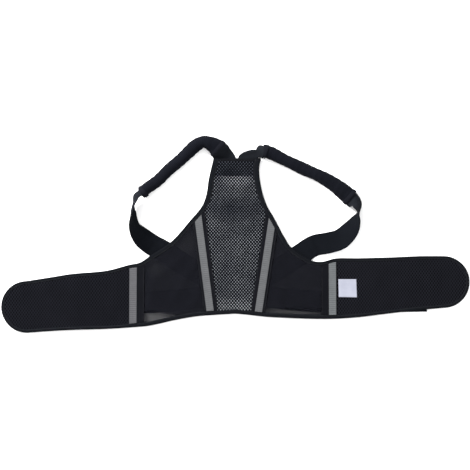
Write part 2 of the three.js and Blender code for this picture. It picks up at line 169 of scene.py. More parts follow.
class Cloth:
    """A cloth material, with the few nodes that its patterns are made from."""

    def __init__(self, name, rough=0.9, gloss=0.02):
        self.material = bpy.data.materials.new(name)
        self.material.use_nodes = True
        self.tree = self.material.node_tree
        self.shader = self.tree.nodes["Principled BSDF"]
        self.shader.inputs["Roughness"].default_value = rough
        self.shader.inputs["Specular IOR Level"].default_value = gloss

    def node(self, kind, values=(), **settings):
        made = self.tree.nodes.new(kind)
        for name, value in settings.items():
            setattr(made, name, value)
        for key, value in dict(values).items():
            if isinstance(value, bpy.types.NodeSocket):
                self.tree.links.new(value, made.inputs[key])
            else:
                made.inputs[key].default_value = value
        return made

    def math(self, operation, *values, clamp=False):
        return self.node("ShaderNodeMath", enumerate(values), operation=operation, use_clamp=clamp).outputs[0]

    def place(self, what="Object"):
        """The x, y and z of the object's own coordinates, or u and v along and across a strip, in metres."""
        split = self.node("ShaderNodeSeparateXYZ", {0: self.node("ShaderNodeTexCoord").outputs[what]})
        return split.outputs[0], split.outputs[1], split.outputs[2]

    def noise(self, size, detail=3.0, stretch=(1, 1, 1)):
        """Soft noise from 0 to 1 with marks of about that size in millimetres."""
        scale = [1 / (size * MM * s) for s in stretch]
        where = self.node("ShaderNodeTexCoord").outputs["Object"]
        mapped = self.node("ShaderNodeMapping", {0: where, 3: scale})
        values = {"Vector": mapped.outputs[0], "Scale": 1.0, "Detail": detail}
        return self.node("ShaderNodeTexNoise", values).outputs[0]

    def wave(self, value, pitch):
        """A sine along a coordinate, from 0 to 1, one turn for each pitch in millimetres."""
        turns = self.math("MULTIPLY", value, 2 * math.pi / (pitch * MM))
        return self.math("MULTIPLY_ADD", self.math("SINE", turns), 0.5, 0.5)

    def spot(self, x, y, half_x, half_y):
        """1 in the middle of an oval on the panel, falling to 0 at its rim; table millimetres."""
        px, py, _ = self.place()
        across = self.math("MULTIPLY_ADD", px, 1 / (half_x * MM), -x / half_x)
        up = self.math("MULTIPLY_ADD", py, 1 / (half_y * MM), (MIDDLE - y) / half_y)
        squares = self.math("ADD", self.math("MULTIPLY", across, across), self.math("MULTIPLY", up, up))
        return self.math("SUBTRACT", 1.0, squares, clamp=True)

    def total(self, *values):
        """The sum of any number of values."""
        found = values[0]
        for value in values[1:]:
            found = self.math("ADD", found, value)
        return found

    def dots(self, pitch_x, pitch_y, sharp=3.0, edge=0.5):
        """A staggered lattice of soft dots, 1 in the middle of a dot; a lower edge makes wider dots."""
        x, y, _ = self.place()
        turn_x = self.math("COSINE", self.math("MULTIPLY", x, 2 * math.pi / (pitch_x * MM)))
        turn_y = self.math("COSINE", self.math("MULTIPLY", y, 2 * math.pi / (pitch_y * MM)))
        both = self.math("ADD", self.math("MULTIPLY", turn_x, turn_y), -edge)
        return self.math("MULTIPLY_ADD", both, sharp, 0.5, clamp=True)

    def mix(self, share, first, second):
        made = self.node("ShaderNodeMix", {0: share, 6: first, 7: second}, data_type="RGBA")
        return made.outputs[2]

    def paint(self, share, first, second):
        """Colours the cloth between two tones."""
        self.tree.links.new(self.mix(share, first, second), self.shader.inputs["Base Color"])
        return self

    def relief(self, height, depth):
        """Bump from a height of 0 to 1, depth in millimetres."""
        made = self.node("ShaderNodeBump", {"Height": height, "Distance": depth * MM, "Strength": 1.0})
        self.tree.links.new(made.outputs[0], self.shader.inputs["Normal"])
        return self


# Where the sheer cloth lies single, and where it looks a little thinner.
# Columns: middle x and y, half width, half height.
SHEER_STRIP = [(140, 7, 110, 11)]
SHEER_FAINT = [(-116, 172, 36, 44), (-190, 108, 30, 26), (112, 44, 16, 24)]
# The single patch at the left foot lies below both lines. Columns: height at the middle, slope.
SHEER_PATCH = [(11, 0.0), (-32.7, -0.22)]
PATCH_END, PATCH_EDGE = -120, 4
# How much of the cloth below the sheer cloth hides, and how much less where it is uneven, faint or single
SHEER_HIDES, UNEVEN_LESS, FAINT_LESS, SINGLE_LESS = 0.87, 0.06, 0.07, 0.27


def ribbed(name, dark, light, pitch, depth=0.2, blotch=30):
    """Woven strip with ribs across it, on strips whose u runs along them."""
    cloth = Cloth(name)
    along, across, _ = cloth.place("UV")
    ribs = cloth.wave(along, pitch)
    warp = cloth.wave(across, 1.3)
    weave = cloth.math("MULTIPLY_ADD", warp, 0.3, cloth.math("MULTIPLY", ribs, 0.7))
    fine = cloth.noise(2.2, 3)
    tint = cloth.math("MULTIPLY_ADD", weave, 0.3, cloth.math("MULTIPLY", fine, 0.3))
    share = cloth.math("MULTIPLY_ADD", cloth.noise(blotch), 0.4, tint, clamp=True)
    cloth.paint(share, dark, light)
    return cloth.relief(cloth.math("MULTIPLY_ADD", fine, 0.4, weave), depth)


def sheer_cloth():
    """Thin mesh that lets the surface below show, most where it lies single."""
    cloth = Cloth("sheer_cloth")
    fine = cloth.noise(1.6, 2, (1, 1.6, 1))
    tint = cloth.math("MULTIPLY_ADD", fine, 0.5, cloth.math("MULTIPLY", cloth.noise(26), 0.5))
    cloth.paint(tint, tone(20, 21, 27), tone(34, 35, 42)).relief(fine, 0.2)
    x, y, _ = cloth.place()
    patch = cloth.math("LESS_THAN", x, PATCH_END * MM)
    for height, slope in SHEER_PATCH:
        below = cloth.math("MULTIPLY_ADD", x, slope, (height - MIDDLE) * MM)
        ramp = cloth.math("MULTIPLY", cloth.math("SUBTRACT", below, y), 1 / (PATCH_EDGE * MM), clamp=True)
        patch = cloth.math("MULTIPLY", patch, ramp)
    strip = cloth.total(*(cloth.spot(*oval) for oval in SHEER_STRIP))
    single = cloth.math("ADD", patch, strip)
    faint = cloth.total(*(cloth.spot(*oval) for oval in SHEER_FAINT))
    uneven = cloth.math("MULTIPLY_ADD", cloth.noise(30), -UNEVEN_LESS, SHEER_HIDES)
    ground = cloth.math("MULTIPLY_ADD", faint, -FAINT_LESS, uneven)
    alpha = cloth.math("MULTIPLY_ADD", single, -SINGLE_LESS, ground)
    cloth.tree.links.new(alpha, cloth.shader.inputs["Alpha"])
    return cloth


def net_yarn():
    cloth = Cloth("net_yarn")
    cloth.paint(cloth.noise(9), tone(9, 11, 16), tone(20, 22, 29))
    return cloth.relief(cloth.noise(0.9, 2), 0.15)


def backing_with_painted_light():
    """Grey lining with painted light near the hem and under the yoke, and painted shade in a soft slanting
    band between.
    """
    cloth = Cloth("backing_with_painted_light")
    # Painted light: brighter spots at the hem and under the yoke.
    hem = cloth.spot(0, 8, 120, 34)
    crown = cloth.spot(4, 318, 44, 26)
    # Painted shade: a duller band slanting between them.
    band = cloth.math("MULTIPLY", cloth.spot(10, 246, 110, 36), -0.34)
    blotch = cloth.math("MULTIPLY_ADD", cloth.noise(60, 2), 0.7, 0.04)
    painted_light = cloth.math("MULTIPLY", cloth.math("ADD", hem, crown), 0.6)
    share = cloth.math("MINIMUM", cloth.math("MAXIMUM", cloth.total(blotch, painted_light, band), 0.0), 1.0)
    grey = cloth.mix(share, tone(150, 157, 170), tone(325, 331, 339))
    cloth.tree.links.new(grey, cloth.shader.inputs["Base Color"])
    return cloth.relief(cloth.noise(1.2, 2), 0.15)


def yoke_lining():
    """Black lining with a faint grey criss-cross, seen through the net."""
    cloth = Cloth("yoke_lining")
    x, y, _ = cloth.place()
    one = cloth.wave(cloth.math("ADD", x, y), 7.6)
    two = cloth.wave(cloth.math("SUBTRACT", x, y), 7.6)
    lines = cloth.math("POWER", cloth.math("MAXIMUM", one, two), 6.0)
    share = cloth.math("MULTIPLY", lines, cloth.noise(24, 2))
    return cloth.paint(share, tone(96, 102, 112), tone(215, 223, 240)).relief(lines, 0.2)


def wing_cloth(name, lift=0):
    """Knit with a staggered lattice of fine holes."""
    cloth = Cloth(name)
    holes = cloth.dots(6.5, 9.2, 3.0, 0.1)
    fine = cloth.noise(1.5, 2)
    tint = cloth.math("MULTIPLY_ADD", cloth.noise(40), 0.6, cloth.math("MULTIPLY", fine, 0.4))
    ground = cloth.mix(tint, tone(27 + lift, 28 + lift, 34 + lift), tone(42 + lift, 43 + lift, 51 + lift))
    cloth.paint(holes, ground, tone(3, 3, 5))
    height = cloth.math("SUBTRACT", cloth.math("MULTIPLY", fine, 0.3), holes)
    return cloth.relief(height, 0.5)


def hook_tape():
    cloth = Cloth("hook_tape", rough=0.6, gloss=0.2)
    hooks = cloth.dots(1.6, 1.6, 2.0)
    return cloth.paint(hooks, tone(16, 16, 19), tone(36, 36, 41)).relief(hooks, 0.5)


def label_satin():
    """Bare satin tape, finely ribbed."""
    cloth = Cloth("label_satin", rough=0.45, gloss=0.3)
    _, y, _ = cloth.place()
    fine = cloth.wave(y, 1.1)
    share = cloth.math("MULTIPLY_ADD", fine, 0.3, cloth.math("MULTIPLY", cloth.noise(14), 0.7))
    return cloth.paint(share, tone(186, 189, 207), tone(214, 217, 233)).relief(fine, 0.05)


def thread(name, dark, light):
    cloth = Cloth(name, rough=0.6, gloss=0.3)
    return cloth.paint(cloth.noise(0.6, 1), dark, light)


# Curves

def spline(points, place):
    """Point of a centripetal Catmull-Rom curve at a point number, whole or between two."""
    last = len(points) - 1
    i = min(int(place), last - 1)
    share = place - i
    p1, p2 = points[i], points[i + 1]
    p0 = points[i - 1] if i else 2 * p1 - p2
    p3 = points[i + 2] if i + 2 <= last else 2 * p2 - p1
    d0, d1, d2 = (max(np.linalg.norm(b - a) ** 0.5, 1e-4) for a, b in ((p0, p1), (p1, p2), (p2, p3)))
    t1 = ((p1 - p0) / d0 - (p2 - p0) / (d0 + d1) + (p2 - p1) / d1) * d1
    t2 = ((p2 - p1) / d1 - (p3 - p1) / (d1 + d2) + (p3 - p2) / d2) * d1
    s2, s3 = share * share, share ** 3
    return p1 + t1 * share + (3 * (p2 - p1) - 2 * t1 - t2) * s2 + (2 * (p1 - p2) + t1 + t2) * s3


def along(points, count):
    """A curve through the points, as count even steps of its point number."""
    points = [np.asarray(p, float) for p in points]
    return [spline(points, i * (len(points) - 1) / count) for i in range(count + 1)]


# How the fabric lies: columns are share of the reach on that side, height of its underside.
LAY = [
    (-1.02, TIP_BASE), (-0.86, TIP_BASE), (-0.8, SINGLE_BASE), (-0.68, SINGLE_BASE + 2.6),
    (-0.57, SINGLE_BASE + 1), (-0.44, SINGLE_BASE), (-0.33, SINGLE_BASE + 1.6), (-0.24, CROSSING_BASE),
    (0.24, CROSSING_BASE), (0.33, SINGLE_BASE + 1.2), (0.42, SINGLE_BASE), (0.56, SINGLE_BASE + 2.2),
    (0.68, SINGLE_BASE + 0.8), (0.83, SINGLE_BASE), (0.88, TIP_BASE), (1.02, TIP_BASE),
]


def lay_x(share):
    return share * (LEFT_REACH if share < 0 else RIGHT_REACH)


LAY_X = [lay_x(share) for share, _ in LAY]
LAY_Z = [height for _, height in LAY]


def lay(x):
    """Height of the fabric's underside."""
    return np.interp(x, LAY_X, LAY_Z)


# Outline of the panel. Columns of an armhole: x per seam distance, y per back height, binding width.
LEFT_ARMHOLE = [
    (0.26, 0.866, 1.3), (0.283, 0.767, 1.3), (0.325, 0.693, 1.1), (0.44, 0.6, 1), (0.627, 0.463, 1),
    (0.834, 0.372, 1), (0.93, 0.33, 0.9),
]
RIGHT_ARMHOLE = [
    (0.246, 0.92, 1.4), (0.275, 0.792, 1.3), (0.326, 0.695, 1.1), (0.4, 0.615, 1), (0.51, 0.487, 1),
    (0.58, 0.424, 1), (0.79, 0.342, 0.9), (0.9, 0.335, 0.8),
]
# Columns of a wing's edge: x from the seam per wing length, y per wing height, binding width.
LEFT_WING_TOP = [(0.03, 0.94, 0.8), (0.197, 0.83, 0.8), (0.468, 0.765, 0.8), (0.62, 0.703, 0.8)]
LEFT_WING_FOOT = [(0.66, -0.342, 0.8), (0.468, -0.315, 0.8), (0.158, -0.29, 0.8)]
RIGHT_WING_TOP = [(0.018, 1.062, 0.8), (0.185, 1.068, 0.8), (0.407, 1.083, 0.8), (0.63, 1.108, 0.8)]
RIGHT_WING_FOOT = [(0.6, 0.06, 0.8), (0.352, -0.017, 0.8), (0.185, -0.071, 0.9)]
# Columns of a hem: x per seam distance, y per wing height, binding width.
LEFT_HEM = [
    (1, -0.262, 0.9), (0.84, -0.232, 1), (0.575, -0.118, 1), (0.375, -0.052, 1), (0.2, -0.024, 1), (0, 0, 1),
]
RIGHT_HEM = [
    (1, -0.1, 0.9), (0.788, -0.1, 1), (0.55, -0.084, 1), (0.313, -0.06, 1), (0.12, -0.02, 1), (0, 0, 1),
]
LEFT_TIP_RISE, RIGHT_TIP_RISE = 0.13, 0.61
YOKE_CORNER_BINDING, WING_BINDING = 1.3, 0.8
UPPER_STEPS, LOWER_STEPS, TIP_STEPS = 160, 104, 24


def edge_path(side, yoke, seam, reach, armhole, wing_top, wing_foot, hem, tip_rise):
    """One side's outer edge, from the yoke corner round the wing tip to the middle of the hem.
    Each point holds x, y and the width of its binding."""
    wing = reach - seam
    tip_x, tip_y = reach - TIP_RADIUS, tip_rise * WING_HEIGHT

    def at(x, y, width):
        return side * x, y, width * BINDING_WIDTH

    upper = [at(yoke, BACK_HEIGHT, YOKE_CORNER_BINDING)]
    upper += [at(x * seam, y * BACK_HEIGHT, w) for x, y, w in armhole]
    upper += [at(seam + x * wing, y * WING_HEIGHT, w) for x, y, w in wing_top]
    upper += [at(tip_x, tip_y + TIP_RADIUS, WING_BINDING)]
    lower = [at(tip_x, tip_y - TIP_RADIUS, WING_BINDING)]
    lower += [at(seam + x * wing, y * WING_HEIGHT, w) for x, y, w in wing_foot]
    lower += [at(x * seam, y * WING_HEIGHT, w) for x, y, w in hem]
    tip = []
    for i in range(1, TIP_STEPS):
        angle = math.pi * (0.5 - i / TIP_STEPS)
        x, y = tip_x + TIP_RADIUS * math.cos(angle), tip_y + TIP_RADIUS * math.sin(angle)
        tip.append(at(x, y, WING_BINDING))
    return np.array([*along(upper, UPPER_STEPS), *tip, *along(lower, LOWER_STEPS)])


def inward(path, side):
    """Unit vectors from the edge into the panel, one for each point of the path."""
    step = np.gradient(path[:, :2], axis=0)
    step /= np.linalg.norm(step, axis=1)[:, None]
    return np.stack([side * step[:, 1], -side * step[:, 0]], axis=1)


LEFT_EDGE = edge_path(-1, YOKE_LEFT, LEFT_SEAM, LEFT_REACH, LEFT_ARMHOLE, LEFT_WING_TOP, LEFT_WING_FOOT,
                      LEFT_HEM, LEFT_TIP_RISE)
RIGHT_EDGE = edge_path(1, YOKE_RIGHT, RIGHT_SEAM, RIGHT_REACH, RIGHT_ARMHOLE, RIGHT_WING_TOP, RIGHT_WING_FOOT,
                       RIGHT_HEM, RIGHT_TIP_RISE)


def outline(distance):
    """The panel's outline moved inwards by a share of the binding's width plus a length."""
    share, extra = distance
    sides = []
    for path, side in ((LEFT_EDGE, -1), (RIGHT_EDGE, 1)):
        moved = path[:, :2] + inward(path, side) * (path[:, 2:] * share + extra)
        moved[0, 1], moved[-1, 0] = path[0, 1], path[-1, 0]
        sides.append(moved)
    return np.concatenate([sides[0][::-1], sides[1][:-1]])


def inside(polygon, x, y):
    """Whether points lie inside a closed outline."""
    x, y = np.asarray(x, float), np.asarray(y, float)
    found = np.zeros(x.shape, bool)
    for (x1, y1), (x2, y2) in zip(polygon, np.roll(polygon, -1, axis=0)):
        if y1 == y2:
            continue
        crosses = (y1 > y) != (y2 > y)
        found ^= crosses & (x < (x2 - x1) * (y - y1) / (y2 - y1) + x1)
    return found


# Soft folds in the cloth. Columns: middle x and y, heading in degrees, half length, half width, height.
FOLDS = [
    (-118, 78, 58, 60, 9, 1.6), (-150, 112, 30, 46, 11, 1.8), (-196, 44, 84, 52, 10, 1.4),
    (-96, 30, 70, 40, 9, 1.1), (-172, -6, 12, 40, 8, 1.5), (108, 46, 80, 44, 9, 1.8),
    (150, 96, -34, 52, 11, 1.7), (196, 40, 78, 40, 12, 1.6), (128, 16, 20, 46, 8, 1.0),
    (-360, 22, 86, 60, 26, 0.8), (-440, 0, 92, 60, 22, 0.7), (330, 70, 84, 60, 26, 0.8),
    (420, 60, 96, 60, 24, 0.7), (0, 210, 12, 60, 26, 0.7), (14, 110, -16, 70, 30, 0.6),
]


def ruffle(x, y):
    """Height that the folds add to every layer of the panel at a place."""
    total = np.zeros(np.shape(x))
    for fx, fy, heading, half_length, half_width, height in FOLDS:
        cos, sin = math.cos(math.radians(heading)), math.sin(math.radians(heading))
        u = ((x - fx) * cos + (y - fy) * sin) / half_length
        v = ((y - fy) * cos - (x - fx) * sin) / half_width
        total += height * np.exp(-u * u - v * v)
    slow = 0.5 + 0.25 * np.sin(x / 37 + y / 61) + 0.25 * np.sin(x / 71 - y / 29)
    return total + 0.5 * slow


# Meshes

def make(name, points, faces, cloth, uvs=None):
    """A piece from table points in millimetres. uvs are in metres, one for each point."""
    mesh = bpy.data.meshes.new(name)
    mesh.from_pydata([tuple(p) for p in world(points)], [], [list(f) for f in faces])
    mesh.update()
    return finish_piece(name, mesh, cloth, uvs)


def finish_piece(name, mesh, cloth, uvs=None):
    """A mesh as a smooth object of one cloth, in the scene."""
    if uvs is not None:
        layer = mesh.uv_layers.new(name="along")
        index = np.zeros(len(mesh.loops), np.int32)
        mesh.loops.foreach_get("vertex_index", index)
        layer.data.foreach_set("uv", np.asarray(uvs, np.float32)[index].ravel())
    mesh.polygons.foreach_set("use_smooth", [True] * len(mesh.polygons))
    mesh.materials.clear()
    mesh.materials.append(cloth.material)
    obj = bpy.data.objects.new(name, mesh)
    bpy.context.scene.collection.objects.link(obj)
    return obj


def dress(obj, slot, *nodes):
    """Hangs a piece on the root body and hides the nodes that it stands for; slot is not used."""
    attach(obj, "root")
    if nodes:
        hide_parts(*nodes)
    return obj


# The rounding of a flat piece's rim, in millimetres, and the angles in degrees that count as a rim
EDGE_BEVEL, BEVEL_ANGLE, SHARP_ANGLE = 0.35, 50, 40


def cut_from_node(node, name, cloth, step, uv_line=None):
    """A copy of a flat CAD piece, cut by a fine grid and lifted by the folds."""
    bm = bmesh.new()
    bm.from_mesh(frame["nodes"][node].data)
    bmesh.ops.remove_doubles(bm, verts=bm.verts, dist=1e-6)
    low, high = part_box(node)
    for axis in (0, 1):
        for i in range(math.ceil(low[axis] / step / MM), math.floor(high[axis] / step / MM) + 1):
            place, normal = [0, 0, 0], [0, 0, 0]
            place[axis], normal[axis] = i * step * MM, 1
            geometry = bm.verts[:] + bm.edges[:] + bm.faces[:]
            bmesh.ops.bisect_plane(bm, geom=geometry, dist=1e-7, plane_co=place, plane_no=normal)
    mesh = bpy.data.meshes.new(name)
    area = sum(f.calc_area() for f in bm.faces if f.normal.z > 0.9)
    bm.to_mesh(mesh)
    bm.free()
    co = np.zeros(len(mesh.vertices) * 3)
    mesh.vertices.foreach_get("co", co)
    co = co.reshape(-1, 3)
    x, y = co[:, 0] / MM, co[:, 1] / MM + MIDDLE
    co[:, 2] += ruffle(x, y) * MM
    mesh.vertices.foreach_set("co", co.ravel())
    uvs = None
    if uv_line is not None:
        start, heading = uv_line
        offset = np.stack([x, y], axis=1) - start
        uvs = np.stack([offset @ heading, offset @ np.array([-heading[1], heading[0]])], axis=1) * MM
    obj = finish_piece(name, mesh, cloth, uvs)
    bevel = obj.modifiers.new("edge", "BEVEL")
    bevel.width, bevel.segments, bevel.limit_method = EDGE_BEVEL * MM, 2, "ANGLE"
    bevel.angle_limit = math.radians(BEVEL_ANGLE)
    obj.data.set_sharp_from_angle(angle=math.radians(SHARP_ANGLE))
    return obj, area


def grid_faces(rows, columns, closed=False):
    """Quads between rows of points; closed joins each row's end to its start."""
    faces = []
    for r in range(rows - 1):
        for c in range(columns if closed else columns - 1):
            d = (c + 1) % columns
            faces.append((r * columns + c, r * columns + d, (r + 1) * columns + d, (r + 1) * columns + c))
    return faces


# Panel

def back_seam(y):
    """How far the seam beside the net lies from the middle at a height."""
    return STAY_FOOT + (STAY_TOP - STAY_FOOT) / STAY_RISE * y


NET_X, NET_Y = 7.1, 8.15
HOLE_X, HOLE_Y = 1.5, 1.72
NET_START = (0.9, 1.4)
HOLE_CORNERS = 8
# Rings inside a cell's rim. Columns: size as a share of the hole, height.
HOLE_RINGS = [(1.12, 0.1), (1, -0.35), (1, -1.3)]
CORNER_RISE, SIDE_RISE, NET_SINK = 0.25, 0.12, 0.2
NET_MARGIN = 2


def net_cell():
    """Rings of one cell as places from its middle: the diamond that it fills, then the hole's rounded lip."""
    turns = [2 * math.pi * i / HOLE_CORNERS for i in range(HOLE_CORNERS)]
    diamond = []
    for i, turn in enumerate(turns):
        cos, sin = math.cos(turn), math.sin(turn)
        if i % 2:
            diamond.append((math.copysign(NET_X / 4, cos), math.copysign(NET_Y / 4, sin), SIDE_RISE))
        else:
            reach = 1 / (abs(cos) / (NET_X / 2) + abs(sin) / (NET_Y / 2))
            diamond.append((reach * cos, reach * sin, CORNER_RISE))
    rings = [diamond]
    for share, rise in HOLE_RINGS:
        rings.append([(HOLE_X * share * math.cos(t), HOLE_Y * share * math.sin(t), rise) for t in turns])
    return rings


def net():
    """Diamond cells in staggered rows, each with an oval hole through rounded yarn."""
    yoke_edge = BACK_HEIGHT - YOKE_BINDING / 2
    field = outline((0.35, 0))
    cell = net_cell()
    points, faces, index = [], [], {}

    def vertex(x, y, z):
        key = (round(x, 2), round(y, 2), round(z, 2))
        if key not in index:
            index[key] = len(points)
            points.append((x, y, z))
        return index[key]

    rows = int(BACK_HEIGHT / (NET_Y / 2)) + 6
    columns = int(2 * STAY_TOP / NET_X) + 6
    for row in range(-4, rows):
        for column in range(-columns, columns + 1):
            x = NET_START[0] + (column + 0.5 * (row % 2)) * NET_X
            y = NET_START[1] + row * NET_Y / 2
            if y > yoke_edge or abs(x) > back_seam(y) - NET_MARGIN or not inside(field, [x], [y])[0]:
                continue
            rims = [[vertex(x + px, y + py, rise - NET_SINK) for px, py, rise in ring] for ring in cell]
            for outer, inner in zip(rims, rims[1:]):
                for i in range(HOLE_CORNERS):
                    j = (i + 1) % HOLE_CORNERS
                    faces.append((outer[i], outer[j], inner[j], inner[i]))
    points = np.array(points)
    points[:, 2] += lay(points[:, 0]) + PANEL_THICK + ruffle(points[:, 0], points[:, 1])
    obj = dress(make("net", points, faces, CLOTHS["net"]), "net", "net_panel")


def flat_pieces():
    table = (
        # name, node, cloth, slot, grid step
        ("panel_lining", "panel_backing", "backing", "backing", 9),
        ("yoke_lining_piece", "yoke_backing", "yoke", "black_lining", 9),
        ("sheer_left", "side_panel_left", "sheer", "sheer", 5),
        ("sheer_right", "side_panel_right", "sheer", "sheer", 5),
        ("wing_cloth_left", "wing_left", "wing_left", "wing", 8),
        ("wing_cloth_right", "wing_right", "wing_right", "wing", 8),
        ("strap_tab_left", "strap_hook_left", "hook", "hook", 12),
        ("strap_tab_right", "strap_hook_right", "hook", "hook", 12),
        ("wing_patch", "wing_hook", "hook", "hook", 12),
    )
    for name, node, cloth, slot, step in table:
        obj, area = cut_from_node(node, name, CLOTHS[cloth], step)
        dress(obj, slot, node)


WING_STAY_LEAN = 1


def stays():
    """The name, foot, top, casing width and casing shift of each seam's tapes."""
    made = []
    for name, side, lean in (("back_left", -1, LEFT_LEAN), ("back_right", 1, RIGHT_LEAN)):
        foot = np.array([side * STAY_FOOT * lean, -STAY_DROP])
        top = np.array([side * STAY_TOP, STAY_RISE])
        made.append((name, foot, top + (top - foot) * STAY_OVERRUN, BACK_CASING, side * BACK_SHIFT))
    for name, side, seam in (("wing_left", -1, LEFT_SEAM), ("wing_right", 1, RIGHT_SEAM)):
        foot = np.array([side * (seam + WING_STAY_LEAN), -WING_HEIGHT])
        top = np.array([side * (seam - WING_STAY_LEAN), 2 * WING_HEIGHT])
        made.append((name, foot, top, WING_CASING, side * WING_SHIFT))
    return made


# Seams: how far each lies from its tape's edge, and the stitches' spacing, length, thickness and sink
TAPE_SEAM, BINDING_SEAM, YOKE_SEAM, LABEL_SEAM = 1.8, 1.6, 1.2, 1.6
STITCH_PITCH, LABEL_PITCH, STITCH_LENGTH, STITCH_THICK, STITCH_SINK = 3.4, 3.0, 2.3, 0.45, 0.05
# A stitch's rings: share of its length, thickness as a share. Its section: side, rise.
STITCH_RINGS = [(0, 0.35), (0.25, 1), (0.75, 1), (1, 0.35)]
STITCH_SECTION = [(-1, 0), (0, 0.55), (1, 0)]


def tapes():
    inner = outline((1, GAP))
    lines = {"casing": [], "tape": []}
    for name, foot, top, width, shift in stays():
        length = np.linalg.norm(top - foot)
        heading = (top - foot) / length
        across = np.array([-heading[1], heading[0]])
        for kind, wide, offset, level in (("casing", width, shift, ABOVE + CASING_THICK),
                                          ("tape", TAPE_WIDTH, 0, TAPE_LEVEL + TAPE_THICK)):
            cloth = "tape_" + name.split("_")[1] if kind == "tape" and name.startswith("wing") else kind
            node = f"stay_{kind}_{name}"
            obj, area = cut_from_node(node, f"{kind}_{name}", CLOTHS[cloth], 7, (foot, heading))
            dress(obj, kind, node)
            for edge in (-1, 1):
                start = foot + across * (offset + edge * (wide / 2 - TAPE_SEAM))
                row = start + np.arange(0, length, 1.0)[:, None] * heading
                kept = row[inside(inner, row[:, 0], row[:, 1])]
                lines[kind].append((kept, level))
    for kind, found in lines.items():
        stitches(f"{kind}_stitches", found, STITCH_PITCH, CLOTHS[f"{kind}_thread"], kind)


def stitches(name, lines, pitch, cloth, slot):
    """Rows of small spindles. Each line is its places in x and y, and its height over what lay gives."""
    points, faces = [], []
    for line, level in lines:
        run = np.concatenate([[0], np.cumsum(np.linalg.norm(np.diff(line, axis=0), axis=1))])
        for middle in np.arange(pitch, run[-1] - pitch, pitch):
            ends = []
            for travelled in (middle - STITCH_LENGTH / 2, middle + STITCH_LENGTH / 2):
                ends.append(np.array([np.interp(travelled, run, line[:, k]) for k in (0, 1)]))
            heading = (ends[1] - ends[0]) / max(np.linalg.norm(ends[1] - ends[0]), 1e-6)
            across = np.array([-heading[1], heading[0]]) * STITCH_THICK / 2
            start = len(points)
            for share, fat in STITCH_RINGS:
                spot = ends[0] + (ends[1] - ends[0]) * share
                base = float(lay(spot[0]) + level + ruffle(spot[0], spot[1]))
                for side, rise in STITCH_SECTION:
                    x, y = spot + across * side * fat
                    points.append((x, y, base + rise * STITCH_THICK * fat - STITCH_SINK))
            for ring in range(len(STITCH_RINGS) - 1):
                for k in range(len(STITCH_SECTION) - 1):
                    a = start + ring * len(STITCH_SECTION) + k
                    b = a + len(STITCH_SECTION)
                    faces.append((a, b, b + 1, a + 1))
    dress(make(name, points, faces, cloth), slot)


# Section of the folded binding. Columns: share of its width from the outer edge, height as a share from
# the lower lip's underside to the upper lip's top.
FOLD = [
    (1.0, 0.22), (0.93, 0.1), (0.6, 0.02), (0.2, 0.03), (0.06, 0.14), (0.0, 0.36),
    (0.0, 0.62), (0.07, 0.87), (0.2, 0.98), (0.45, 1.0), (0.75, 0.97), (0.93, 0.88), (1.0, 0.78),
]
# The small puckers along the bindings: height, length
BINDING_PUCKER, PUCKER_LENGTH = 0.12, 1.7
# How far the seams press into the bindings
EDGE_PRESS, YOKE_PRESS = 0.12, 0.1


def bindings():
    low, high = -GAP - LIP, PANEL_THICK + GAP + LIP
    seams = []
    for name, path, side in (("left", LEFT_EDGE, -1), ("right", RIGHT_EDGE, 1)):
        normals = inward(path, side)
        normals[0], normals[-1] = (-side, 0), (0, 1)
        length = np.concatenate([[0], np.cumsum(np.linalg.norm(np.diff(path[:, :2], axis=0), axis=1))])
        points, uvs = [], []
        for (x, y, width), normal, run in zip(path, normals, length):
            for k, (share, rise) in enumerate(FOLD):
                px, py = np.array([x, y]) + normal * share * width
                pucker = BINDING_PUCKER * math.sin(run / PUCKER_LENGTH) * (share > 0.4)
                points.append((px, py, lay(px) + low + (high - low) * rise + ruffle(px, py) + pucker))
                uvs.append((run * MM, k * 2 * MM))
        faces = grid_faces(len(path), len(FOLD))
        if side < 0:
            faces = [f[::-1] for f in faces]
        obj = make(f"binding_{name}", points, faces, CLOTHS["binding"], uvs)
        dress(obj, "binding", f"edge_binding_{name}")
        seams.append((path[:, :2] + normals * (path[:, 2:] - BINDING_SEAM), high - EDGE_PRESS))
    yoke_binding(low, high, seams)
    stitches("binding_stitches", seams, STITCH_PITCH, CLOTHS["binding_thread"], "binding")


def yoke_binding(low, high, seams):
    xs = np.linspace(-YOKE_LEFT, YOKE_RIGHT, 60)
    points, uvs = [], []
    for x in xs:
        for k, (share, rise) in enumerate(FOLD):
            y = BACK_HEIGHT - share * YOKE_BINDING
            points.append((x, y, lay(x) + low + (high - low) * rise + ruffle(x, y)))
            uvs.append((x * MM, k * 2 * MM))
    faces = [f[::-1] for f in grid_faces(len(xs), len(FOLD))]
    obj = dress(make("binding_yoke", points, faces, CLOTHS["binding"], uvs), "binding", "yoke_binding")
    ys = np.full(len(xs), BACK_HEIGHT - YOKE_BINDING + YOKE_SEAM)
    seams.append((np.stack([xs, ys], axis=1), high - YOKE_PRESS))


# The label's lean, the sag and curl of its free foot and the wave in it
LABEL_SKEW, LABEL_SAG, LABEL_CURL, LABEL_WAVE = 1.6, 0.8, 1.0, 0.25


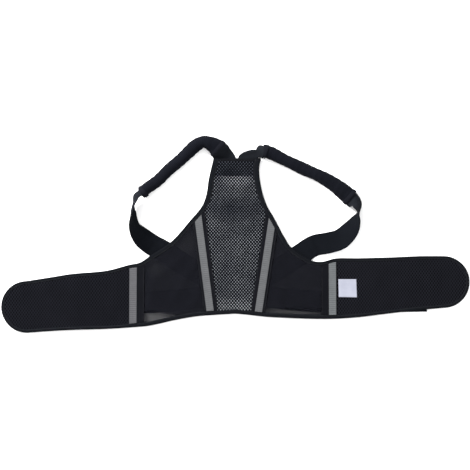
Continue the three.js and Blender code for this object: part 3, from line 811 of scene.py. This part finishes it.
def label():
    """Bare label, stitched along its upper edge, with its foot curled up a little."""
    count = 22
    x0, y0 = RIGHT_SEAM + LABEL_CORNER, LABEL_RISE
    points, uvs = [], []
    for face in (1, 0):
        for i in range(count + 1):
            for j in range(count + 1):
                u, v = j / count, i / count
                x = x0 + u * LABEL_SIZE + (1 - v) * LABEL_SKEW * (0.5 + u * 0.5)
                y = y0 + v * LABEL_SIZE - LABEL_SAG * u * (1 - v)
                curl = LABEL_CURL * (1 - v) ** 3 + LABEL_WAVE * math.sin(5 * u + 2 * v)
                lift = ABOVE + LABEL_THICK * face + max(curl, 0)
                points.append((x, y, lay(x) + lift + ruffle(x, y)))
                uvs.append((u * LABEL_SIZE * MM, v * LABEL_SIZE * MM))
    side = count + 1
    top = grid_faces(side, side)
    under = [tuple(side * side + k for k in f[::-1]) for f in top]
    rim = [*range(side), *(i * side + count for i in range(1, side))]
    rim += [count * side + i for i in range(count - 1, -1, -1)]
    rim += [i * side for i in range(count - 1, 0, -1)]
    wall = [(rim[k - 1], rim[k - 1] + side * side, rim[k] + side * side, rim[k]) for k in range(len(rim))]
    obj = dress(make("label", points, top + under + wall, CLOTHS["label"], uvs), "label", "care_label")
    xs = np.linspace(x0 + 2, x0 + LABEL_SIZE - 2, 30)
    row = np.stack([xs, np.full(len(xs), y0 + LABEL_SIZE - LABEL_SEAM)], axis=1)
    seam = [(row, ABOVE + LABEL_THICK + 0.2)]
    stitches("label_stitches", seam, LABEL_PITCH, CLOTHS["label_thread"], "label")


# Straps. Columns of a loop: x per arm reach, y per back height, curl and roll in degrees,
# share of the width that lies unfolded, and what it wears: 0 nothing, 1 its pad, 2 the pad and a collar.
LEFT_LOOP = [
    (-0.097, 0.95, 0, 0, 1, 0), (-0.093, 0.988, 0, 0, 1, 0), (-0.125, 1.03, 0, 0, 0.88, 0),
    (-0.15, 1.053, 124, 0, 1, 2), (-0.202, 1.082, 156, 0, 1, 2), (-0.293, 1.106, 252, 0, 1, 1),
    (-0.363, 1.083, 222, 0, 1, 1), (-0.422, 1.046, 219, 0, 1, 1), (-0.515, 0.984, 240, 0, 1, 1),
    (-0.615, 0.923, 246, 0, 1, 1), (-0.715, 0.859, 248, 0, 1, 1), (-0.823, 0.802, 258, 0, 1, 2),
    (-0.864, 0.776, 264, 0, 1, 2), (-0.876, 0.77, 150, 36, 0.36, 0), (-0.911, 0.752, 120, 50, 0.46, 0),
    (-0.932, 0.712, 70, 84, 0.76, 0), (-0.95, 0.654, 66, 99, 1, 0), (-0.932, 0.564, 0, 120, 1, 0),
    (-0.856, 0.489, 0, 158, 1, 0), (-0.765, 0.441, 0, 180, 1, 0), (-0.675, 0.408, 0, 180, 1, 0),
]
RIGHT_LOOP = [
    (0.1, 0.95, 0, 0, 1, 0), (0.102, 0.988, 0, 0, 1, 0), (0.125, 1.012, 0, 0, 0.66, 0),
    (0.172, 1.031, 20, 0, 0.38, 0), (0.22, 1.043, 234, 0, 1, 2), (0.274, 1.031, 218, 0, 1, 2),
    (0.398, 0.983, 250, 0, 1, 1), (0.522, 0.935, 232, 0, 1, 1), (0.627, 0.894, 238, 0, 1, 1),
    (0.758, 0.837, 190, 0, 1, 1), (0.824, 0.797, 156, 0, 1, 2), (0.899, 0.743, 160, 0, 1, 2),
    (0.944, 0.714, 110, -40, 0.7, 0), (0.96, 0.672, 50, -74, 1, 0), (0.943, 0.611, 30, -113, 1, 0),
    (0.894, 0.542, 0, -144, 1, 0), (0.815, 0.479, 0, -164, 1, 0), (0.72, 0.455, 0, -174, 1, 0),
    (0.616, 0.438, 0, -180, 1, 0), (0.518, 0.388, 0, -180, 1, 0),
]
# Columns of the run below the panel: x per reach of that side, y per wing height.
LEFT_RUN = [
    (-0.236, 0.994), (-0.121, 0.706), (0, 0.485), (0.127, 0.34), (0.276, 0.254), (0.532, 0.225),
    (0.818, 0.243),
]
RIGHT_RUN = [
    (0.225, 0.975), (0.118, 0.687), (0, 0.485), (-0.129, 0.34), (-0.279, 0.244), (-0.535, 0.187),
    (-0.769, 0.148),
]
PAD_THICK = STRAP_THICK + 2 * (TUNNEL_FACE + PAD_WALL)
PAD_WIDTH = STRAP_WIDTH + 2 * (TUNNEL_SIDE + PAD_SEAM)
COLLAR_GROWTH = 2 * (GAP + COLLAR_THICK)
YOKE_RISE = CROSSING_BASE - GAP - LIP - STRAP_LEVEL


def crossing_rise(x):
    """Height of the strap that passes over the other one behind the panel."""
    share = (CROSSING_HALF + CROSSING_RAMP - abs(x)) / CROSSING_RAMP
    return STRAP_LEVEL * min(max(share, 0), 1)


# How far a section's points crowd to its edges, and its least thickness there as a share, flat and pillowed
EDGE_CROWD = 0.4
FLAT_EDGE, PILLOW_EDGE = 0.55, 0.12
# A section is never flatter than this curl, in degrees.
LEAST_CURL = 0.5


def section(width, thick, curl, roll, steps, crown=0.0):
    """Upper and lower rows of points across a curled strip. crown rounds its faces, 0 flat to 1 pillowed."""
    bend = max(abs(curl), LEAST_CURL) * math.pi / 180 / STRAP_WIDTH
    middle = math.sin(bend * STRAP_WIDTH / 2) / (bend * STRAP_WIDTH / 2)
    turn = math.radians(roll)
    cos, sin = math.cos(turn), math.sin(turn)
    rows = []
    for face in (1, -1):
        row = []
        for i in range(steps + 1):
            share = 2 * i / steps - 1
            share = math.sin(share * math.pi / 2) * EDGE_CROWD + share * (1 - EDGE_CROWD)
            angle = bend * width * share / 2
            fall = (1 - abs(share) ** (2 if crown else 6)) ** 0.5 if abs(share) < 1 else 0
            body = (1 - crown) * min(1, fall * 1.4) + crown * fall
            reach = 1 / bend + face * thick / 2 * max(body, PILLOW_EDGE if crown else FLAT_EDGE)
            across, above = reach * math.sin(angle), reach * math.cos(angle) - middle / bend
            row.append((across * cos - above * sin, across * sin + above * cos))
        rows.append(row)
    return rows


class Route:
    """A strap's line through its stations, with its section at any place along it."""

    def __init__(self, loop, run, arm, roll, rise_at):
        self.rows = []
        for i, (x, y, curl, turn, unfolded, wrap) in enumerate(loop):
            rise = YOKE_RISE if i < 2 else 0
            self.rows.append((x * arm, y * BACK_HEIGHT, curl, turn, unfolded, wrap, rise))
        for share, y in run:
            x = lay_x(share)
            self.rows.append((x, y * WING_HEIGHT, 0, roll, 1, 0, rise_at(x)))
        self.line = [np.array([row[0], row[1], 0.0]) for row in self.rows]
        self.last = len(self.rows) - 1

    def values(self, place):
        """Curl, roll, unfolded share, what it wears and its rise, at a station or between two."""
        i = min(int(place), self.last - 1)
        share = place - i
        return [a * (1 - share) + b * share for a, b in zip(self.rows[i][2:], self.rows[i + 1][2:])]

    def frame(self, place):
        at = spline(self.line, place)
        ahead = spline(self.line, min(place + 1e-3, self.last)) - spline(self.line, max(place - 1e-3, 0))
        side = np.array([-ahead[1], ahead[0], 0]) / np.linalg.norm(ahead)
        curl, roll, _, wrap, rise = self.values(place)
        padded, collared = min(wrap, 1), max(wrap - 1, 0) * COLLAR_GROWTH
        width = STRAP_WIDTH + padded * (PAD_WIDTH - STRAP_WIDTH) + collared
        thick = STRAP_THICK + padded * (PAD_THICK - STRAP_THICK) + collared
        rest = section(width, thick, curl, roll, 6)
        height = rise - min(point[1] for row in rest for point in row)
        return at, side, curl, roll, height

    def ring(self, place, width, thick, steps, crown=0.0):
        """Points round the strip at a place, lifted so that what it wears there rests at its rise."""
        at, side, curl, roll, height = self.frame(place)
        upper, lower = section(width, thick, curl, roll, steps, crown)
        around = upper + lower[::-1]
        return [at + side * across + np.array([0, 0, above + height]) for across, above in around]

    def advance(self, place, length):
        """The station number that length further along, or back for a negative one."""
        step, travelled, spot = math.copysign(0.01, length), 0.0, place
        while travelled < abs(length):
            travelled += np.linalg.norm(spline(self.line, spot + step) - spline(self.line, spot))
            spot += step
        return spot

    def length(self, start, end, steps=400):
        spots = [spline(self.line, start + (end - start) * i / steps) for i in range(steps + 1)]
        return float(np.linalg.norm(np.diff(spots, axis=0), axis=1).sum())


def tube(name, rings, runs, cloth, back=None, caps=True):
    """A skin over rings of equal length. runs are the lengths along it, in millimetres; back is the cloth
    of its lower face."""
    count = len(rings[0])
    faces = grid_faces(len(rings), count, closed=True)
    if caps:
        faces += [tuple(range(count))[::-1], tuple((len(rings) - 1) * count + k for k in range(count))]
    points = [p for ring in rings for p in ring]
    uvs = []
    for ring, run in zip(rings, runs):
        travelled = np.concatenate([[0], np.cumsum(np.linalg.norm(np.diff(ring, axis=0), axis=1))])
        half = travelled[count // 2 - 1]
        uvs += [(run * MM, min(t, 2 * half - t) * MM) for t in travelled]
    obj = make(name, points, [f[::-1] for f in faces], cloth, uvs)
    if back:
        obj.data.materials.append(back.material)
        for i in range((len(rings) - 1) * count):
            obj.data.polygons[i].material_index = int(i % count >= count // 2)
    return obj


def places(start, end, per_gap):
    """Station numbers from start to end, some to each gap between stations."""
    between = range(int(start * per_gap) + 1, math.ceil(end * per_gap - 1e-6))
    return [start, *(i / per_gap for i in between), end]


def runs_of(route, spots):
    """Lengths along a route to each of its spots."""
    points = [spline(route.line, s) for s in spots]
    return np.concatenate([[0], np.cumsum(np.linalg.norm(np.diff(points, axis=0), axis=1))])


# Ridges pressed into the webbing. Columns: x and y of both ends, half width, height.
RIDGES = [
    (174, 174, 192, 143, 5, 2.4), (160, 158, 180, 131, 4, 1.4), (12, 374, 56, 385, 4, 1.6),
    (-44, 374, -14, 380, 3, 0.9), (-46, 385, -18, 394, 3, 0.9), (-196, 172, -170, 156, 5, 1.4),
]


def ridges(x, y):
    """Height that the ridges add to a strap at a place."""
    total = 0.0
    for x1, y1, x2, y2, half_width, height in RIDGES:
        dx, dy = x2 - x1, y2 - y1
        share = min(max(((x - x1) * dx + (y - y1) * dy) / (dx * dx + dy * dy), 0), 1)
        away = math.hypot(x - x1 - share * dx, y - y1 - share * dy)
        total += height * math.exp(-(away / half_width) ** 2)
    return total


# Rings for each gap between stations, and steps across each face
STRAP_RINGS, PAD_RINGS = 8, 14
STRAP_STEPS, PAD_STEPS, COLLAR_STEPS = 20, 26, 20
PAD_CROWN, COLLAR_CROWN = 0.55, 0.35


def strap(side, route, pad_from, pad_to):
    spots = places(0, route.last, STRAP_RINGS)
    rings = []
    for spot in spots:
        unfolded = route.values(spot)[2]
        ring = route.ring(spot, STRAP_WIDTH * unfolded, STRAP_THICK, STRAP_STEPS)
        rings.append([p + np.array([0, 0, ridges(p[0], p[1])]) for p in ring])
    # The upper face wears the webbing with painted light, the lower face a darker copy with painted shade.
    obj = tube(f"strap_{side}", rings, runs_of(route, spots), CLOTHS["webbing_painted_light"], CLOTHS["webbing_painted_shade"])
    dress(obj, "webbing", f"webbing_{side}")
    route.length(0, route.last) * MM
    pad(side, route, pad_from, pad_to)
    upper, lower = route.advance(pad_from, COLLAR_LENGTH), route.advance(pad_to, -COLLAR_LENGTH)
    collar(f"{side}_upper", route, pad_from, upper)
    collar(f"{side}_lower", route, lower, pad_to)


# Puckers across a sleeve: height, length, wander, and the wander's turn from point to point
PAD_PUCKER = (0.3, 2.4, 1.5, 0.35)
# Slow swells of a sleeve. Columns: height, length, turn from point to point.
PAD_SWELLS = [(0.5, 19, 0.22), (0.35, 11, -0.3)]
PAD_SINK, PAD_FILL = 0.4, 0.5


def pad(side, route, start, end):
    """Soft sleeve, fuller between its side seams, with small cross puckers."""
    spots = places(start, end, PAD_RINGS)
    runs = runs_of(route, spots)
    chance = random.Random(f"pad {side}")
    phases = [chance.uniform(0, 6.28) for _ in range(4)]
    rise, length, wander, turn = PAD_PUCKER
    rings = []
    for spot, run in zip(spots, runs):
        outer = route.ring(spot, PAD_WIDTH, PAD_THICK, PAD_STEPS, PAD_CROWN)
        middle = sum(outer) / len(outer)
        puffed = []
        for i, point in enumerate(outer):
            swell = rise * math.sin(run / length + phases[0] + wander * math.sin(i * turn + phases[1]))
            for (slow_rise, slow_length, slow_turn), phase in zip(PAD_SWELLS, phases[2:]):
                swell += slow_rise * math.sin(run / slow_length + i * slow_turn + phase)
            away = point - middle
            puffed.append(point + away / max(np.linalg.norm(away), 1e-6) * (swell - PAD_SINK))
        rings.append(puffed)
    obj = tube(f"pad_{side}", rings, runs, CLOTHS["pad"])
    dress(obj, "pad", f"shoulder_pad_{side}")


# A collar's rings. Columns: share of its length, share of its growth over the sleeve.
COLLAR_RINGS = [(0, 0.0), (0, 0.8), (0.12, 1), (0.5, 1.05), (0.88, 1), (1, 0.8), (1, 0.0)]


def collar(name, route, start, end):
    """Folded band round a sleeve's mouth."""
    rings, runs = [], []
    for share, fat in COLLAR_RINGS:
        grown = COLLAR_GROWTH * fat
        spot = start + (end - start) * share
        rings.append(route.ring(spot, PAD_WIDTH + grown, PAD_THICK + grown, COLLAR_STEPS, COLLAR_CROWN))
        runs.append(share * COLLAR_LENGTH)
    obj = tube(f"collar_{name}", rings, runs, CLOTHS["collar"], caps=False)
    dress(obj, "binding", f"pad_collar_{name}")


CLOTHS = {
    "net": net_yarn(),
    "backing": backing_with_painted_light(),
    "yoke": yoke_lining(),
    "sheer": sheer_cloth(),
    "wing_left": wing_cloth("wing_knit_left"),
    "wing_right": wing_cloth("wing_knit_right", 3),
    "hook": hook_tape(),
    "casing": ribbed("casing_tape", tone(16, 17, 21), tone(32, 33, 39), 1.6),
    "tape": ribbed("grey_tape", tone(92, 94, 96), tone(138, 139, 142), 4.8, 0.5, 12),
    "tape_left": ribbed("grey_tape_left", tone(88, 88, 92), tone(130, 130, 134), 4.8, 0.5, 12),
    "tape_right": ribbed("grey_tape_right", tone(98, 102, 104), tone(146, 149, 152), 4.8, 0.5, 12),
    "binding": ribbed("binding_tape", tone(17, 19, 23), tone(33, 35, 40), 1.4),
    "collar": ribbed("collar_tape", tone(20, 21, 27), tone(42, 43, 51), 1.4),
    # Lit and shaded copies of one webbing: painted light on the upper face, painted shade on the lower face.
    "webbing_painted_light": ribbed("strap_face_painted_light", tone(24, 26, 31), tone(46, 49, 55), 2.6, 0.35),
    "webbing_painted_shade": ribbed("strap_back_painted_shade", tone(14, 16, 21), tone(30, 33, 39), 2.6, 0.35),
    "pad": ribbed("pad_knit", tone(13, 14, 19), tone(36, 38, 47), 3.4, 0.7),
    "label": label_satin(),
    "binding_thread": thread("binding_thread", tone(30, 31, 36), tone(60, 61, 68)),
    "casing_thread": thread("casing_thread", tone(26, 27, 31), tone(52, 53, 58)),
    "tape_thread": thread("tape_thread", tone(70, 71, 73), tone(104, 105, 108)),
    "label_thread": thread("label_thread", tone(190, 192, 205), tone(226, 228, 238)),
}

camera()
studio()
net()
flat_pieces()
tapes()
bindings()
label()
strap("left", Route(LEFT_LOOP, LEFT_RUN, LEFT_ARM, 180, crossing_rise), 3, 12)
strap("right", Route(RIGHT_LOOP, RIGHT_RUN, RIGHT_ARM, -180, lambda x: 0), 4, 11)
